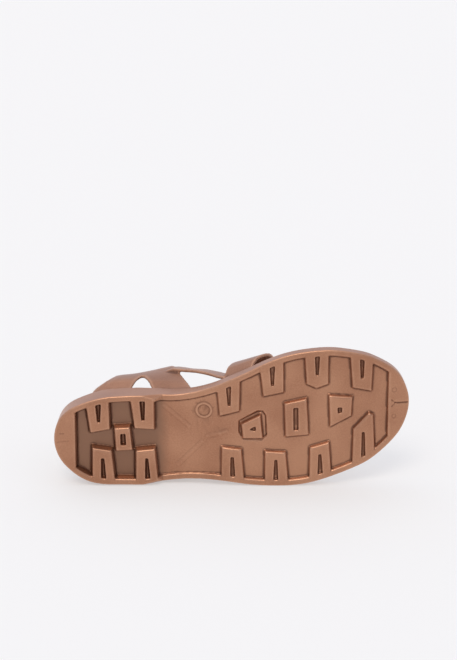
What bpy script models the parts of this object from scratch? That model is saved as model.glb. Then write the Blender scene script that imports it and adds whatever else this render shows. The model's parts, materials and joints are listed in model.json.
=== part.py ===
"""Left jelly sandal, moulded in metallic PVC, lying on its lateral side with the outsole in front.

The shoe is drawn standing in its own frame: toe to +X, lateral side to +Y, up to +Z.
An empty then lays it down until the sole's edge and the upper both touch the floor.
"""
import bpy
import bmesh
import numpy as np
from math import acos, cos, hypot, pi, sin
from mathutils import Matrix, Vector
from mathutils.geometry import delaunay_2d_cdt

# Driving sizes, in metres
LENGTH = 0.250          # outsole, heel to toe
BALL_WIDTH = 0.0985     # outsole across the ball
LOOP_HEIGHT = 0.083     # heel tread to the top of the loop behind the ankle
INSTEP_HEIGHT = 0.070   # heel tread to the top of the T-bar
VAMP_HEIGHT = 0.051     # heel tread to the top of the strap over the ball
HEEL_SIDE = 0.020       # side wall at the heel
FORE_SIDE = 0.0098      # side wall at the ball and the toe
ARCH_LIFT = 0.0045      # arch above the floor
TOE_SPRING = 0.0080     # toe tip above the floor
SIDE_DRAFT = 0.0012     # how far the side wall leans in at the heel
EDGE_CHAMFER = 0.0006   # worn edge under the side wall
LIP_CHAMFER = 0.0007    # soft edge on top of the side wall
SIDE_LIP = 0.0018       # wall of the sole around the footbed
TREAD_RIM = 0.0036      # flat rim around the tread
HEEL_POCKET = 0.0060    # depth of the tread at the heel
FORE_POCKET = 0.0028    # depth of the tread at the ball
MOAT_DEPTH = 0.0008     # extra depth around the wedge block
HEEL_SLIT = 0.0034      # depth of the slits and holes at the heel
FORE_SLIT = 0.0019      # depth of the slits and holes at the ball
WALL_FOOT = 0.00030     # how far the foot of a tread wall stands out at least
WALL_DRAFT = 0.16       # and how much further for its depth
WALL_MITRE = 2.0        # limit of that at a sharp corner
HEEL_LAND = 0.0150      # solid tread behind the heel pocket
TOE_LAND = 0.0148       # solid tread in front of the toe pocket
CLEARANCE = 0.0003      # between pieces that touch
FLANGE = 0.0015         # the upper's rim under the insole
FLANGE_WIDTH = 0.0090   # how far that rim reaches in
INSOLE = 0.0022         # insole thickness
UPPER_WALL = 0.0022     # wall of the upper
FOOT_EASE = 0.00015     # feet of the straps behind the rim's own edge
FOOT_RISE = 0.0110      # height over which a strap leaves its foot for its own form
BAR_WIDTH = 0.0215      # T-bar across
BAR_CROWN = 0.0011      # how far its sides drop below its middle
STRAP_WIDTH = 0.0132    # ankle strap
STRAP_LIFT = 0.0004     # ankle strap above the quarter that it closes on
STRAP_SINK = 0.0004     # ankle strap below the face of the quarter that it grows from
TRIANGLE_ROUND = 0.0016 # corner radius of the cut-outs in the quarters
STUD_HEAD = 0.0132      # stud head across
STUD_THICK = 0.0021     # stud head thickness
STUD_POST = 0.0042      # stud post across
STUD_FOOT = 0.0078      # disc inside the quarter, across
STUD_FOOT_THICK = 0.0012 # thickness of that disc
STUD_HOLE = 0.0050      # hole for the post
DRILL_REACH = 0.0100    # how far the hole's cutter reaches to both sides of the quarter
CUT_START = 0.0120      # where the cutters of the quarters start, from the middle line
FOOT_SINK = 0.00045     # feet of the straps in the upper's rim
CORE_ALONG = 0.055      # point that the quarters, the loop and the ankle strap face away from
CORE_SIDE = 0.015       # point that the straps over the forefoot face away from, to the medial side
CORE_HEIGHT = 0.005     # height of that point

SIDE_FACES = 36         # stations along each side of the sole
HEEL_REACH = 0.146      # share of the length over which the heel curls round

WELL_DEPTH = CLEARANCE + FLANGE + CLEARANCE + INSOLE

# Outline of the outsole, columns: along (share of the length), medial and lateral reach (shares of the
# ball width)
OUTLINE = (
    (0.000, 0.005, -0.005),
    (0.020, 0.172, 0.165),
    (0.045, 0.231, 0.238),
    (0.073, 0.267, 0.294),
    (0.101, 0.294, 0.328),
    (0.132, 0.317, 0.344),
    (0.192, 0.333, 0.347),
    (0.276, 0.336, 0.346),
    (0.336, 0.329, 0.327),
    (0.384, 0.345, 0.319),
    (0.440, 0.389, 0.318),
    (0.496, 0.457, 0.328),
    (0.552, 0.525, 0.348),
    (0.608, 0.597, 0.356),
    (0.664, 0.646, 0.354),
    (0.720, 0.672, 0.334),
    (0.776, 0.681, 0.290),
    (0.834, 0.662, 0.234),
    (0.890, 0.623, 0.166),
    (0.920, 0.582, 0.107),
    (0.948, 0.537, 0.040),
    (0.975, 0.463, -0.045),
    (0.992, 0.371, -0.142),
    (1.000, 0.262, -0.262),
)

# Tread height under the sole, columns: along (share of the length), arch (share of the arch lift),
# toe (share of the toe spring)
TREAD_LINE = (
    (0.000, 0.00, 0.00),
    (0.292, 0.00, 0.00),
    (0.304, 1.00, 0.00),
    (0.380, 0.96, 0.00),
    (0.430, 0.62, 0.00),
    (0.468, 0.18, 0.00),
    (0.500, 0.00, 0.00),
    (0.740, 0.00, 0.00),
    (0.800, 0.00, 0.06),
    (0.860, 0.00, 0.24),
    (0.920, 0.00, 0.52),
    (0.965, 0.00, 0.79),
    (1.000, 0.00, 1.00),
)

# Top of the side wall, columns: along (share of the length), heel (share of the heel side),
# fore (share of the fore side), toe (share of the toe spring)
SIDE_LINE = (
    (0.000, 1.00, 0.00, 0.00),
    (0.300, 1.00, 0.00, 0.00),
    (0.380, 0.86, 0.10, 0.00),
    (0.440, 0.60, 0.28, 0.00),
    (0.500, 0.28, 0.68, 0.00),
    (0.580, 0.06, 0.96, 0.00),
    (0.740, 0.00, 1.00, 0.00),
    (0.800, 0.00, 0.98, 0.06),
    (0.860, 0.00, 0.95, 0.24),
    (0.920, 0.00, 0.92, 0.52),
    (0.965, 0.00, 0.90, 0.79),
    (1.000, 0.00, 0.88, 1.00),
)

# Floor of the tread, columns: along (share of the length), heel (share of the heel pocket),
# fore (share of the fore pocket)
POCKET_LINE = (
    (0.000, 1.00, 0.00),
    (0.340, 1.00, 0.00),
    (0.400, 0.70, 0.24),
    (0.480, 0.00, 1.00),
    (1.000, 0.00, 1.00),
)

# Side lugs, columns: side (-1 medial, 1 lateral), root (two shares of the length, where the lug leaves
# the rim), tips (corners as shares of the length and the ball width), slit_root and slit_end (two shares
# of the length each), slit_reach (share of the ball width)
LUGS = (
    (-1, (0.092, 0.155), ((0.103, -0.052), (0.157, -0.079)), (0.117, 0.134), (0.122, 0.131), -0.131),
    (-1, (0.216, 0.282), ((0.228, -0.086), (0.282, -0.079)), (0.241, 0.258), (0.246, 0.256), -0.146),
    (1, (0.107, 0.170), ((0.108, 0.066), (0.161, 0.087)), (0.130, 0.146), (0.131, 0.141), 0.143),
    (1, (0.230, 0.2915), ((0.231, 0.087), (0.283, 0.073)), (0.255, 0.271), (0.256, 0.265), 0.143),
    (-1, (0.460, 0.523), ((0.467, -0.180), (0.521, -0.219)), (0.484, 0.499), (0.489, 0.498), -0.256),
    (-1, (0.580, 0.644), ((0.590, -0.332), (0.645, -0.362)), (0.606, 0.622), (0.610, 0.619), -0.409),
    (-1, (0.705, 0.770), ((0.711, -0.424), (0.738, -0.393), (0.770, -0.424)), (0.732, 0.747),
     (0.735, 0.744), -0.489),
    (-1, (0.832, 0.895), ((0.840, -0.393), (0.892, -0.362)), (0.858, 0.872), (0.861, 0.870), -0.457),
    (1, (0.472, 0.535), ((0.473, 0.062), (0.527, 0.077)), (0.496, 0.511), (0.497, 0.507), 0.133),
    (1, (0.595, 0.660), ((0.595, 0.092), (0.652, 0.101)), (0.618, 0.633), (0.621, 0.630), 0.154),
    (1, (0.721, 0.781), ((0.722, 0.064), (0.774, 0.024)), (0.743, 0.759), (0.745, 0.754), 0.112),
    (1, (0.842, 0.904), ((0.844, -0.075), (0.887, -0.191), (0.898, -0.175)), (0.866, 0.879),
     (0.867, 0.876), -0.051),
)

# Middle blocks, columns: block and hole, both as corners (shares of the length and the ball width)
BLOCKS = (
    (((0.171, -0.086), (0.213, -0.093), (0.220, 0.080), (0.175, 0.087)),
     ((0.186, -0.045), (0.202, -0.045), (0.203, 0.044), (0.187, 0.044))),
    (((0.529, -0.116), (0.580, -0.182), (0.587, -0.010), (0.533, -0.010)),
     ((0.546, -0.075), (0.569, -0.105), (0.569, -0.064))),
    (((0.649, -0.274), (0.710, -0.310), (0.716, -0.039), (0.653, -0.023)),
     ((0.673, -0.243), (0.688, -0.247), (0.689, -0.073), (0.674, -0.069))),
    (((0.774, -0.334), (0.838, -0.319), (0.836, -0.178), (0.778, -0.101)),
     ((0.797, -0.247), (0.811, -0.244), (0.811, -0.205), (0.798, -0.197))),
)
# Outline of the deeper tread around the second block: corners, as above
MOAT = ((0.518, -0.139), (0.572, -0.216), (0.589, -0.219), (0.599, -0.178),
        (0.602, -0.023), (0.586, 0.015), (0.532, 0.004), (0.518, -0.047))

# Back of the upper, columns: height (share of the loop height), back (share of the length), medial and
# lateral half width (shares of the ball width), medial_flare and lateral_flare (how each side widens
# forwards)
BACK = (
    (0.18, 0.032, 0.305, 0.305, 0.00, 0.00),
    (0.25, 0.036, 0.314, 0.312, 0.00, 0.00),
    (0.31, 0.041, 0.330, 0.325, 0.00, 0.00),
    (0.38, 0.046, 0.342, 0.334, 0.00, 0.00),
    (0.45, 0.052, 0.343, 0.332, 0.03, 0.00),
    (0.54, 0.060, 0.330, 0.312, 0.10, 0.00),
    (0.65, 0.070, 0.298, 0.276, 0.22, 0.02),
    (0.73, 0.076, 0.268, 0.248, 0.26, 0.04),
    (0.82, 0.082, 0.235, 0.218, 0.26, 0.04),
    (0.92, 0.086, 0.200, 0.188, 0.20, 0.04),
    (1.02, 0.088, 0.172, 0.164, 0.15, 0.04),
)

# Pattern of the quarters and the loop, columns: rear_way, rear_height, front_way, front_height; a way
# runs round from the middle of the back (share of the length), a height is a share of the loop height
MEDIAL_PATTERN = (
    (0.085, 0.190, 0.414, 0.190),
    (0.102, 0.255, 0.402, 0.250),
    (0.128, 0.330, 0.383, 0.330),
    (0.152, 0.420, 0.357, 0.440),
    (0.162, 0.505, 0.326, 0.570),
    (0.158, 0.575, 0.295, 0.740),
    (0.148, 0.630, 0.252, 0.735),
    (0.133, 0.690, 0.210, 0.744),
    (0.113, 0.752, 0.165, 0.788),
    (0.087, 0.812, 0.120, 0.870),
    (0.052, 0.841, 0.075, 0.952),
    (0.025, 0.845, 0.034, 0.992),
    (0.000, 0.845, 0.000, 1.000),
)
LATERAL_PATTERN = (
    (0.085, 0.190, 0.408, 0.190),
    (0.102, 0.255, 0.394, 0.250),
    (0.128, 0.330, 0.374, 0.330),
    (0.152, 0.420, 0.346, 0.430),
    (0.162, 0.505, 0.314, 0.540),
    (0.158, 0.575, 0.278, 0.645),
    (0.148, 0.630, 0.246, 0.692),
    (0.133, 0.690, 0.208, 0.730),
    (0.113, 0.752, 0.165, 0.788),
    (0.087, 0.812, 0.120, 0.870),
    (0.052, 0.841, 0.075, 0.952),
    (0.025, 0.845, 0.034, 0.992),
    (0.000, 0.845, 0.000, 1.000),
)

# Triangle cut in each quarter: way round and height of its corners
TRIANGLE = ((0.221, 0.258), (0.293, 0.258), (0.240, 0.485))

# Straps over the ball and the toes, columns: rear and front edge, each as a share of the length, of the
# ball width and of the vamp height
BALL_STRAP = (
    ((0.476, -0.400, 0.100), (0.556, -0.500, 0.100)),
    ((0.477, -0.425, 0.260), (0.556, -0.522, 0.230)),
    ((0.482, -0.448, 0.400), (0.562, -0.545, 0.330)),
    ((0.491, -0.462, 0.540), (0.580, -0.560, 0.440)),
    ((0.506, -0.460, 0.690), (0.602, -0.560, 0.550)),
    ((0.523, -0.422, 0.825), (0.618, -0.522, 0.665)),
    ((0.536, -0.338, 0.932), (0.628, -0.450, 0.765)),
    ((0.544, -0.243, 0.985), (0.632, -0.350, 0.835)),
    ((0.548, -0.140, 1.000), (0.630, -0.235, 0.865)),
    ((0.545, -0.030, 0.970), (0.622, -0.110, 0.850)),
    ((0.535, 0.075, 0.880), (0.608, 0.020, 0.775)),
    ((0.520, 0.165, 0.745), (0.592, 0.130, 0.665)),
    ((0.505, 0.232, 0.585), (0.577, 0.215, 0.520)),
    ((0.496, 0.268, 0.430), (0.566, 0.270, 0.385)),
    ((0.490, 0.278, 0.260), (0.560, 0.298, 0.230)),
    ((0.488, 0.278, 0.100), (0.558, 0.302, 0.100)),
)
TOE_STRAP = (
    ((0.640, -0.580, 0.100), (0.712, -0.620, 0.100)),
    ((0.640, -0.580, 0.215), (0.712, -0.620, 0.215)),
    ((0.642, -0.585, 0.330), (0.714, -0.620, 0.320)),
    ((0.646, -0.560, 0.450), (0.717, -0.592, 0.420)),
    ((0.654, -0.505, 0.570), (0.724, -0.535, 0.520)),
    ((0.666, -0.425, 0.665), (0.734, -0.450, 0.605)),
    ((0.678, -0.330, 0.725), (0.744, -0.350, 0.655)),
    ((0.686, -0.230, 0.745), (0.751, -0.245, 0.670)),
    ((0.687, -0.120, 0.725), (0.751, -0.140, 0.650)),
    ((0.679, -0.010, 0.660), (0.744, -0.040, 0.590)),
    ((0.665, 0.095, 0.560), (0.732, 0.055, 0.505)),
    ((0.650, 0.185, 0.450), (0.720, 0.140, 0.420)),
    ((0.640, 0.260, 0.335), (0.712, 0.235, 0.320)),
    ((0.636, 0.300, 0.215), (0.708, 0.280, 0.215)),
    ((0.636, 0.300, 0.100), (0.708, 0.280, 0.100)),
)

# T-bar from its rounded top to the toe strap, columns: along (share of the length), middle (share of the
# ball width), height (share of the instep height), width (share of the bar width)
T_BAR = (
    (0.3180, -0.040, 1.000, 0.40),
    (0.3200, -0.041, 0.990, 0.66),
    (0.3265, -0.043, 0.960, 0.90),
    (0.3440, -0.048, 0.890, 1.00),
    (0.3660, -0.056, 0.812, 1.00),
    (0.3980, -0.069, 0.752, 1.02),
    (0.4400, -0.090, 0.725, 1.05),
    (0.4900, -0.118, 0.712, 1.08),
    (0.5500, -0.155, 0.692, 1.06),
    (0.6100, -0.188, 0.630, 0.95),
    (0.6600, -0.212, 0.560, 0.86),
    (0.7050, -0.232, 0.500, 0.80),
)

# Bar from each quarter's top down to the foot of the ball strap. Its start in the quarter, columns: along
# (share of the length), low and high (shares of the loop height); then columns: lower and upper edge,
# each as a share of the length, of the ball width and of the loop height
MEDIAL_BAR_START = (
    (0.275, 0.545, 0.698),
    (0.305, 0.535, 0.704),
)
LATERAL_BAR_START = (
    (0.255, 0.480, 0.590),
    (0.280, 0.478, 0.592),
)
MEDIAL_BAR = (
    ((0.330, -0.388, 0.508), (0.347, -0.345, 0.696)),
    ((0.363, -0.393, 0.470), (0.391, -0.347, 0.638)),
    ((0.397, -0.407, 0.404), (0.433, -0.371, 0.540)),
    ((0.430, -0.414, 0.326), (0.468, -0.387, 0.430)),
    ((0.456, -0.418, 0.240), (0.497, -0.404, 0.332)),
    ((0.476, -0.424, 0.184), (0.512, -0.438, 0.268)),
)
LATERAL_BAR = (
    ((0.312, 0.322, 0.462), (0.330, 0.292, 0.584)),
    ((0.350, 0.324, 0.424), (0.377, 0.294, 0.540)),
    ((0.389, 0.318, 0.362), (0.423, 0.293, 0.468)),
    ((0.428, 0.306, 0.290), (0.465, 0.286, 0.388)),
    ((0.464, 0.290, 0.226), (0.501, 0.278, 0.315)),
    ((0.490, 0.276, 0.184), (0.522, 0.272, 0.262)),
)

# Start of the ankle strap in the medial quarter, and its end on the lateral quarter, columns:
# along (share of the length), height (share of the loop height), width (share of the strap width)
STRAP_START = (
    (0.268, 0.640, 0.90),
    (0.288, 0.650, 0.95),
    (0.308, 0.664, 1.00),
)
STRAP_END = (
    (0.292, 0.585, 1.00),
    (0.266, 0.579, 1.00),
    (0.240, 0.578, 1.00),
    (0.220, 0.578, 0.92),
    (0.210, 0.578, 0.56),
)
# Ankle strap between them, over the T-bar, columns: along, side and height of its middle line (shares of
# the length, the ball width and the loop height), lean (run backwards for each unit of rise)
ANKLE_STRAP = (
    (0.335, -0.243, 0.700, 0.36),
    (0.352, -0.172, 0.738, 0.84),
    (0.358, -0.100, 0.750, 1.00),
    (0.358, -0.028, 0.750, 1.00),
    (0.355, 0.045, 0.738, 0.96),
    (0.349, 0.112, 0.704, 0.74),
    (0.338, 0.180, 0.654, 0.42),
    (0.322, 0.245, 0.606, 0.18),
)
STUD_PLACE = (0.2400, 0.578)   # share of the length, share of the loop height
# Profile of the stud's head, columns: radius (share of the head's), height (share of its thickness)
STUD_DOME = (
    (0.94, 0.00),
    (1.00, 0.25),
    (0.97, 0.60),
    (0.82, 0.90),
    (0.45, 1.00),
    (0.00, 1.00),
)

# Faces across the sheets and along each step of their tables
BAND_ACROSS = 9
STRAP_ACROSS = 4
BAR_ACROSS = 3
BAND_STEPS = 3
STRAP_STEPS = 2
STUD_FACES = 20
CORNER_STEPS = 3
HALVINGS = 50           # steps of the searches
NEAR = 0.004            # share by which a search looks to both sides


def smooth(table, at):
    """Read a table of rows (place, values...) at a place, through a smooth curve."""
    rows = np.array(table, dtype=float)
    places, values = rows[:, 0], rows[:, 1:]
    at = min(max(at, places[0]), places[-1])
    slopes = np.gradient(values, places, axis=0)
    i = int(min(max(np.searchsorted(places, at) - 1, 0), len(places) - 2))
    step = places[i + 1] - places[i]
    t = (at - places[i]) / step
    return ((2 * t**3 - 3 * t**2 + 1) * values[i] + (t**3 - 2 * t**2 + t) * step * slopes[i]
            + (3 * t**2 - 2 * t**3) * values[i + 1] + (t**3 - t**2) * step * slopes[i + 1])


def straight(table, at):
    """Read a table of rows (place, values...) at a place, along straight lines."""
    rows = np.array(table, dtype=float)
    return np.array([np.interp(at, rows[:, 0], rows[:, k]) for k in range(1, rows.shape[1])])


def even(along):
    """Spread a share of the length so that both round ends get enough points."""
    return acos(1 - 2 * min(max(along, 0.0), 1.0))


OUTLINE_SPREAD = tuple((even(row[0]), row[1], row[2]) for row in OUTLINE)


def outline_at(x):
    """Medial and lateral reach of the outsole at a place along it."""
    medial, lateral = smooth(OUTLINE_SPREAD, even(x / LENGTH))
    return -medial * BALL_WIDTH, lateral * BALL_WIDTH


def tread_z(x):
    arch, toe = straight(TREAD_LINE, x / LENGTH)
    return arch * ARCH_LIFT + toe * TOE_SPRING


def side_z(x):
    heel, fore, toe = smooth(SIDE_LINE, x / LENGTH)
    return heel * HEEL_SIDE + fore * FORE_SIDE + toe * TOE_SPRING


def pocket_z(x):
    heel, fore = straight(POCKET_LINE, x / LENGTH)
    _, toe = straight(TREAD_LINE, x / LENGTH)
    return heel * HEEL_POCKET + fore * FORE_POCKET + toe * TOE_SPRING


def side_stations():
    """Places along the sole, closer together at both round ends and at the heel's front face."""
    places = [(1 - cos(pi * k / SIDE_FACES)) / 2 for k in range(1, SIDE_FACES)]
    for special in (TREAD_LINE[1][0], TREAD_LINE[2][0]):
        nearest = min(places, key=lambda place: abs(place - special))
        places[places.index(nearest)] = special
    return [place * LENGTH for place in sorted(places)]


def outline_loop():
    """Outsole outline as points: heel tip, medial side, toe tip, lateral side."""
    stations = side_stations()
    heel = (0.0, outline_at(0.0)[1])
    toe = (LENGTH, outline_at(LENGTH)[1])
    medial = [(x, outline_at(x)[0]) for x in stations]
    lateral = [(x, outline_at(x)[1]) for x in reversed(stations)]
    return [heel] + medial + [toe] + lateral


def inset(loop, distance):
    """Move a loop of (x, y) points inwards; distance may be a number or a function of x."""
    moved = []
    count = len(loop)
    for i, (x, y) in enumerate(loop):
        before, after = loop[i - 1], loop[(i + 1) % count]
        dx, dy = after[0] - before[0], after[1] - before[1]
        size = hypot(dx, dy)
        step = distance(x) if callable(distance) else distance
        moved.append((x - dy / size * step, y + dx / size * step))
    return moved


def draft_at(x):
    """Lean of the side wall at a place, in step with its height."""
    return SIDE_DRAFT * (side_z(x) - tread_z(x)) / HEEL_SIDE


def foot_inset(x):
    return draft_at(x) + SIDE_LIP + CLEARANCE


def side_of(loop, x, side):
    """Reach of a loop at a place, on the medial (-1) or lateral (+1) side."""
    half = len(loop) // 2
    part = loop[1:half] if side < 0 else list(reversed(loop[half + 1:]))
    return float(np.interp(x, [p[0] for p in part], [p[1] for p in part]))


def ring_faces(mesh, lower, upper):
    """Quads between two loops of vertices."""
    for i in range(len(lower)):
        j = (i + 1) % len(lower)
        mesh.faces.new((lower[i], lower[j], upper[j], upper[i]))


def deck_faces(mesh, loop):
    """Strips across a loop from its medial to its lateral side."""
    half = len(loop) // 2
    medial, lateral = loop[1:half], list(reversed(loop[half + 1:]))
    mesh.faces.new((loop[0], medial[0], lateral[0]))
    for a, b, c, d in zip(medial, medial[1:], lateral[1:], lateral):
        mesh.faces.new((a, b, c, d))
    mesh.faces.new((medial[-1], loop[half], lateral[-1]))


def material(name, colour, roughness, metallic):
    finish = bpy.data.materials.new(name)
    finish.use_nodes = True
    shader = finish.node_tree.nodes["Principled BSDF"]
    shader.inputs["Base Color"].default_value = (*colour, 1.0)
    shader.inputs["Roughness"].default_value = roughness
    shader.inputs["Metallic"].default_value = metallic
    return finish


def finished(name, mesh, finish):
    """Close a bmesh into a named object with its faces out."""
    bmesh.ops.remove_doubles(mesh, verts=mesh.verts, dist=1e-7)
    bmesh.ops.triangulate(mesh, faces=mesh.faces)
    bmesh.ops.recalc_face_normals(mesh, faces=mesh.faces)
    if mesh.calc_volume(signed=True) < 0:
        bmesh.ops.reverse_faces(mesh, faces=mesh.faces)
    data = bpy.data.meshes.new(name)
    mesh.to_mesh(data)
    mesh.free()
    data.materials.append(finish)
    made = bpy.data.objects.new(name, data)
    bpy.context.scene.collection.objects.link(made)
    return made


def scaled(points):
    """Shares of length and ball width as metres."""
    return [(along * LENGTH, across * BALL_WIDTH) for along, across in points]


def inside(point, polygon):
    x, y = point
    hit = False
    for (x0, y0), (x1, y1) in zip(polygon, polygon[1:] + polygon[:1]):
        if (y0 > y) != (y1 > y) and x < x0 + (y - y0) * (x1 - x0) / (y1 - y0):
            hit = not hit
    return hit


def pocket_loop(loop):
    """Boundary of the sunk tread inside the rim, between the solid heel end and toe end."""
    rim = inset(loop, TREAD_RIM)
    half = len(loop) // 2
    first, last = HEEL_LAND, LENGTH - TOE_LAND
    medial = [p for p in rim[1:half] if first < p[0] < last]
    lateral = [p for p in rim[half + 1:] if first < p[0] < last]
    corners = [(first, side_of(rim, first, -1)), (last, side_of(rim, last, -1)),
               (last, side_of(rim, last, 1)), (first, side_of(rim, first, 1))]
    return [corners[0]] + medial + [corners[1], corners[2]] + lateral + [corners[3]]


def lug_shapes():
    """Outline of each side lug, run into the rim, and of its slit, which ends at the rim."""
    lugs, slits = [], []
    for side, root, tips, slit_root, slit_end, slit_reach in LUGS:
        rim_y = [side_of(RIM_MIDDLE, share * LENGTH, side) for share in root]
        lugs.append([(root[0] * LENGTH, rim_y[0])] + scaled(tips) + [(root[1] * LENGTH, rim_y[1])])
        slit_y = [side_of(RIM_INNER, share * LENGTH, side) for share in slit_root]
        end = slit_reach * BALL_WIDTH
        slits.append([(slit_root[0] * LENGTH, slit_y[0]), (slit_end[0] * LENGTH, end),
                      (slit_end[1] * LENGTH, end), (slit_root[1] * LENGTH, slit_y[1])])
    return lugs, slits


def tread_map(loop):
    """Flat map of the tread: points, triangles and the level of each triangle."""
    pocket = pocket_loop(loop)
    lugs, slits = lug_shapes()
    blocks = [scaled(block) for block, _ in BLOCKS]
    holes = [scaled(hole) for _, hole in BLOCKS]
    moat = scaled(MOAT)
    points, edges = [], []

    def add(shape):
        start = len(points)
        points.extend(Vector(p) for p in shape)
        count = len(shape)
        edges.extend((start + i, start + (i + 1) % count) for i in range(count))

    for shape in [loop, pocket, moat] + lugs + slits + blocks + holes:
        add(shape)
    half = len(loop) // 2
    edges.extend((i, len(loop) - i) for i in range(1, half))
    flat, _, triangles, _, _, _ = delaunay_2d_cdt(points, edges, [], 0, 1e-6, False)

    levels = []
    kept = []
    for triangle in triangles:
        centre = sum((flat[i] for i in triangle), Vector((0, 0))) / 3
        spot = (centre.x, centre.y)
        if not inside(spot, loop):
            continue
        if any(inside(spot, shape) for shape in slits + holes):
            level = "slit"
        elif not inside(spot, pocket) or any(inside(spot, shape) for shape in lugs + blocks):
            level = "land"
        elif inside(spot, moat):
            level = "moat"
        else:
            level = "pocket"
        kept.append(triangle)
        levels.append(level)
    return flat, kept, levels


def level_depth(level, x):
    """Depth of a level under the tread at a place."""
    if level == "land":
        return 0.0
    if level == "slit":
        heel, fore = straight(POCKET_LINE, x / LENGTH)
        return heel * HEEL_SLIT + fore * FORE_SLIT
    return pocket_z(x) - tread_z(x) + (MOAT_DEPTH if level == "moat" else 0.0)


def wall_shift(normals, distance):
    """Shift that carries a corner by a distance along each of its walls' normals."""
    shift = np.linalg.lstsq(np.array(normals), np.full(len(normals), distance), rcond=None)[0]
    size = float(np.hypot(*shift))
    return shift * min(1.0, WALL_MITRE * distance / size) if size > 0 else shift


def build_sole(finish):
    """Sole unit: tread with pockets and lugs, leaning side wall, lip and footbed well."""
    loop = inset(OUTLINE_LOOP, EDGE_CHAMFER)
    flat, triangles, levels = tread_map(loop)
    by_edge = {}
    for triangle, level in zip(triangles, levels):
        for a, b, c in (triangle, triangle[1:] + triangle[:1], triangle[2:] + triangle[:2]):
            by_edge.setdefault(frozenset((a, b)), []).append((level, c))

    # each wall leans: its foot stands out into the lower level
    normals = {}
    walls = []
    for edge, sides in by_edge.items():
        if len(sides) != 2 or sides[0][0] == sides[1][0]:
            continue
        a, b = edge
        middle_x = (flat[a].x + flat[b].x) / 2
        deep, far = max(sides, key=lambda side: level_depth(side[0], middle_x))
        normal = Vector((flat[b].y - flat[a].y, flat[a].x - flat[b].x)).normalized()
        if normal.dot(flat[far] - flat[a]) < 0:
            normal.negate()
        for index in edge:
            normals.setdefault((index, deep), []).append(tuple(normal))
        walls.append((a, b, sides[0][0], sides[1][0]))

    mesh = bmesh.new()
    made = {}

    def vertex(index, level):
        if (index, level) not in made:
            x, y = flat[index]
            depth = level_depth(level, x)
            if (index, level) in normals:
                dx, dy = wall_shift(normals[index, level], WALL_FOOT + WALL_DRAFT * depth)
                x, y = x + dx, y + dy
            made[index, level] = mesh.verts.new((x, y, tread_z(x) + level_depth(level, x)))
        return made[index, level]

    for triangle, level in zip(triangles, levels):
        mesh.faces.new([vertex(i, level) for i in reversed(triangle)])
    for a, b, near, far in walls:
        mesh.faces.new([vertex(a, near), vertex(b, near), vertex(b, far), vertex(a, far)])

    bottom = [vertex(i, "land") for i in range(len(loop))]
    rings = (
        (lambda x: 0.0, lambda x: tread_z(x) + EDGE_CHAMFER),
        (draft_at, lambda x: side_z(x) - LIP_CHAMFER),
        (lambda x: draft_at(x) + LIP_CHAMFER, side_z),
        (lambda x: draft_at(x) + SIDE_LIP, side_z),
        (lambda x: draft_at(x) + SIDE_LIP, lambda x: side_z(x) - WELL_DEPTH),
    )
    below = bottom
    for distance, height in rings:
        shifted = inset(OUTLINE_LOOP, distance)
        above = [mesh.verts.new((x, y, height(x))) for x, y in shifted]
        ring_faces(mesh, below, above)
        below = above
    deck_faces(mesh, below)
    return finished("sole", mesh, finish)


def plate(mesh, outer_inset, inner_inset, low, high):
    """Flat ring or plate that follows the footbed; heights are measured from the side wall's top."""
    outer = inset(OUTLINE_LOOP, outer_inset)
    rings = [[mesh.verts.new((x, y, side_z(x) - drop)) for x, y in outer] for drop in (low, high)]
    ring_faces(mesh, rings[0], rings[1])
    if inner_inset is None:
        deck_faces(mesh, rings[0])
        deck_faces(mesh, rings[1])
        return
    inner = inset(OUTLINE_LOOP, inner_inset)
    rings += [[mesh.verts.new((x, y, side_z(x) - drop)) for x, y in inner] for drop in (high, low)]
    for lower, upper in zip(rings[1:], rings[2:] + rings[:1]):
        ring_faces(mesh, lower, upper)


def build_insole(finish):
    """Insole inside the straps' feet, on the upper's rim."""
    mesh = bmesh.new()
    top = WELL_DEPTH - 2 * CLEARANCE - FLANGE - INSOLE
    plate(mesh, lambda x: foot_inset(x) + UPPER_WALL + 2 * CLEARANCE + FOOT_EASE, None, top + INSOLE, top)
    return finished("insole", mesh, finish)


def flange_piece(finish):
    """Rim of the upper that lies under the insole, all the way round."""
    mesh = bmesh.new()
    low = WELL_DEPTH - CLEARANCE
    plate(mesh, foot_inset, lambda x: foot_inset(x) + FLANGE_WIDTH, low, low - FLANGE)
    return finished("flange", mesh, finish)


def curve_through(points, pieces):
    """Points on a smooth curve through the given ones, with so many pieces between each two."""
    ends = [2 * points[0] - points[1]] + list(points) + [2 * points[-1] - points[-2]]
    curve = []
    for p0, p1, p2, p3 in zip(ends, ends[1:], ends[2:], ends[3:]):
        for k in range(pieces):
            t = k / pieces
            curve.append(0.5 * (2 * p1 + (p2 - p0) * t + (2 * p0 - 5 * p1 + 4 * p2 - p3) * t**2
                                + (3 * p1 - p0 - 3 * p2 + p3) * t**3))
    curve.append(points[-1].copy())
    return curve


def behind(point):
    """Point in the foot's room that a part of the quarters faces away from."""
    return Vector((CORE_ALONG, 0, point.z))


def beneath(point):
    """Point in the foot's room that a part of the forefoot straps faces away from."""
    return Vector((point.x, -CORE_SIDE, CORE_HEIGHT))


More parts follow.
